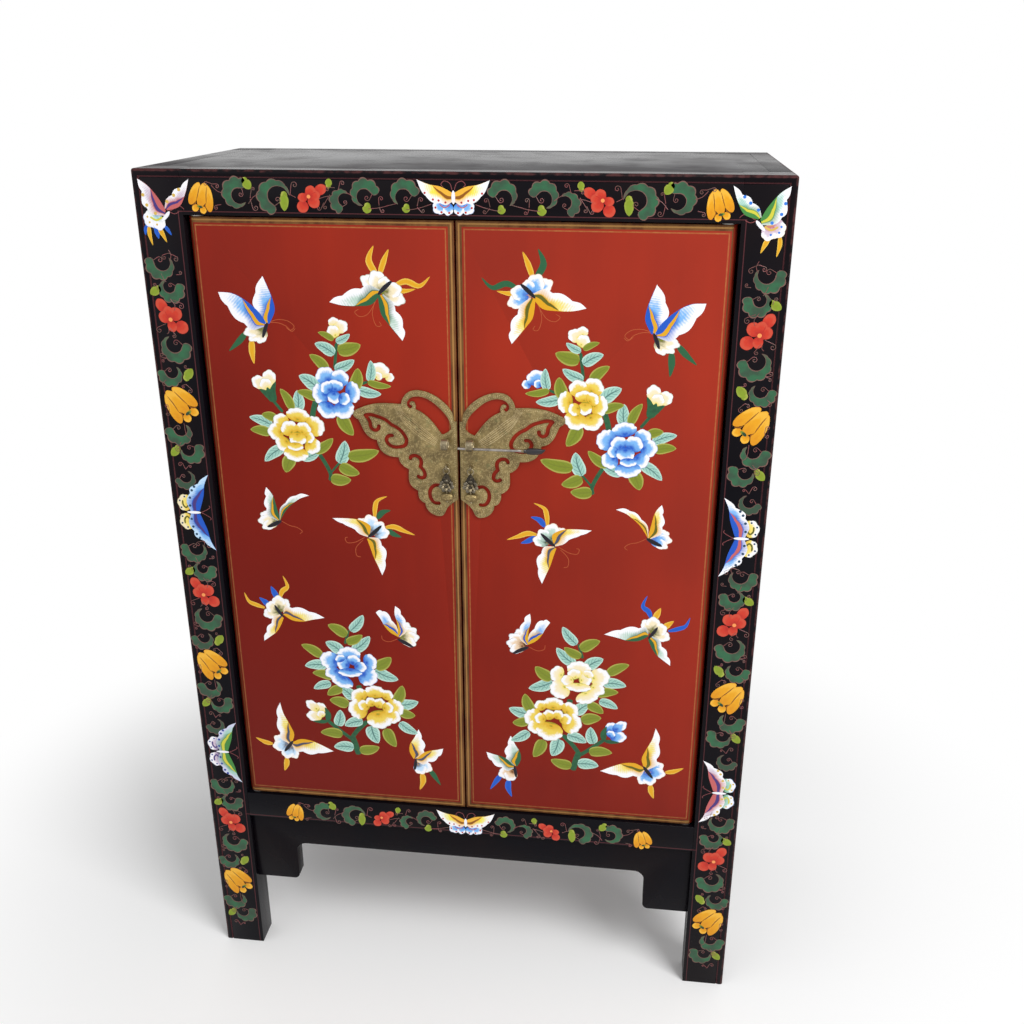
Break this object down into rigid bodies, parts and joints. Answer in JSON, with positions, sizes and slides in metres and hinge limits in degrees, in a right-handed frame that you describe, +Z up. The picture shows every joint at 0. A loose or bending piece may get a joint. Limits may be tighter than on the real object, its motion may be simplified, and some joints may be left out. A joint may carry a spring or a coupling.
{
  "type": "lacquered cabinet",
  "caption": "Tall narrow lacquered cabinet on corner-post legs, with inset doors on hidden pivots, a pierced butterfly lock plate, a sliding lock pin and hanging pulls.",
  "frame": {"origin": "floor level, under the middle of the bounding box: midway between the sides, and midway between the back face and the front of the lock staples", "axes": "+X to the right seen from the front, +Y from the front to the back, +Z up"},
  "size_m": [0.6, 0.2955, 0.906],
  "materials": {
    "black_lacquer": "glossy black lacquer over wood, painted with flowers, scrolls and butterflies",
    "red_lacquer": "satin red lacquer over wood, painted with peonies and butterflies, gold-brown edge bands",
    "inner_wood": "plain wood, stained reddish brown",
    "aged_brass": "engraved brass with an olive-brown patina and worn edges",
    "brass": "turned brass, worn bright",
    "pin_steel": "drawn rod, dull polish",
    "dark_grip": "dark carved wood, polished by hands"
  },
  "bodies": {
    "root": {"front_left_post": "black_lacquer", "front_right_post": "black_lacquer", "rear_left_post": "black_lacquer", "rear_right_post": "black_lacquer", "top_front_rail": "black_lacquer", "top_rear_rail": "black_lacquer", "bottom_front_rail": "black_lacquer", "bottom_rear_rail": "black_lacquer", "top_left_rail": "black_lacquer", "top_right_rail": "black_lacquer", "bottom_left_rail": "black_lacquer", "bottom_right_rail": "black_lacquer", "front_apron": "black_lacquer", "rear_apron": "black_lacquer", "left_apron": "black_lacquer", "right_apron": "black_lacquer", "top_board": "black_lacquer", "floor_board": "inner_wood", "left_side_panel": "black_lacquer", "right_side_panel": "black_lacquer", "back_panel": "black_lacquer", "shelf": "inner_wood", "left_shelf_batten": "inner_wood", "right_shelf_batten": "inner_wood", "top_door_stop": "inner_wood", "bottom_door_stop": "inner_wood", "pivot_bushes": "brass"},
    "left_door": {"left_door_board": "red_lacquer", "left_door_battens": "inner_wood", "left_pivot_pins": "brass", "left_butterfly_plate": "aged_brass", "left_plate_nails": "aged_brass", "left_staple": "aged_brass", "left_pull_eye": "aged_brass"},
    "right_door": {"right_door_board": "red_lacquer", "right_door_battens": "inner_wood", "right_pivot_pins": "brass", "right_butterfly_plate": "aged_brass", "right_plate_nails": "aged_brass", "right_staple": "aged_brass", "right_pull_eye": "aged_brass"},
    "lock_pin": {"lock_rod": "pin_steel", "lock_ferrule": "aged_brass", "lock_grip": "dark_grip"},
    "left_pull": {"left_pull": "aged_brass", "left_bead": "aged_brass"},
    "right_pull": {"right_pull": "aged_brass", "right_bead": "aged_brass"}
  },
  "joints": [
    {"name": "left_door_hinge", "type": "hinge", "parent": "root", "child": "left_door", "pos_m": [-0.2435, -0.12325, 0.5425], "axis": [0, 0, -1], "range_deg": [0, 95]},
    {"name": "right_door_hinge", "type": "hinge", "parent": "root", "child": "right_door", "pos_m": [0.2435, -0.12325, 0.5425], "axis": [0, 0, 1], "range_deg": [0, 95]},
    {"name": "lock_pin_slide", "type": "slide", "parent": "right_door", "child": "lock_pin", "axis": [1, 0, 0], "range_m": [-0.0465, 0.006]},
    {"name": "left_pull_swing", "type": "hinge", "parent": "left_door", "child": "left_pull", "pos_m": [-0.012, -0.13795, 0.62795], "axis": [-1, 0, 0], "range_deg": [0, 100]},
    {"name": "right_pull_swing", "type": "hinge", "parent": "right_door", "child": "right_pull", "pos_m": [0.012, -0.13795, 0.62795], "axis": [-1, 0, 0], "range_deg": [0, 100]}
  ]
}
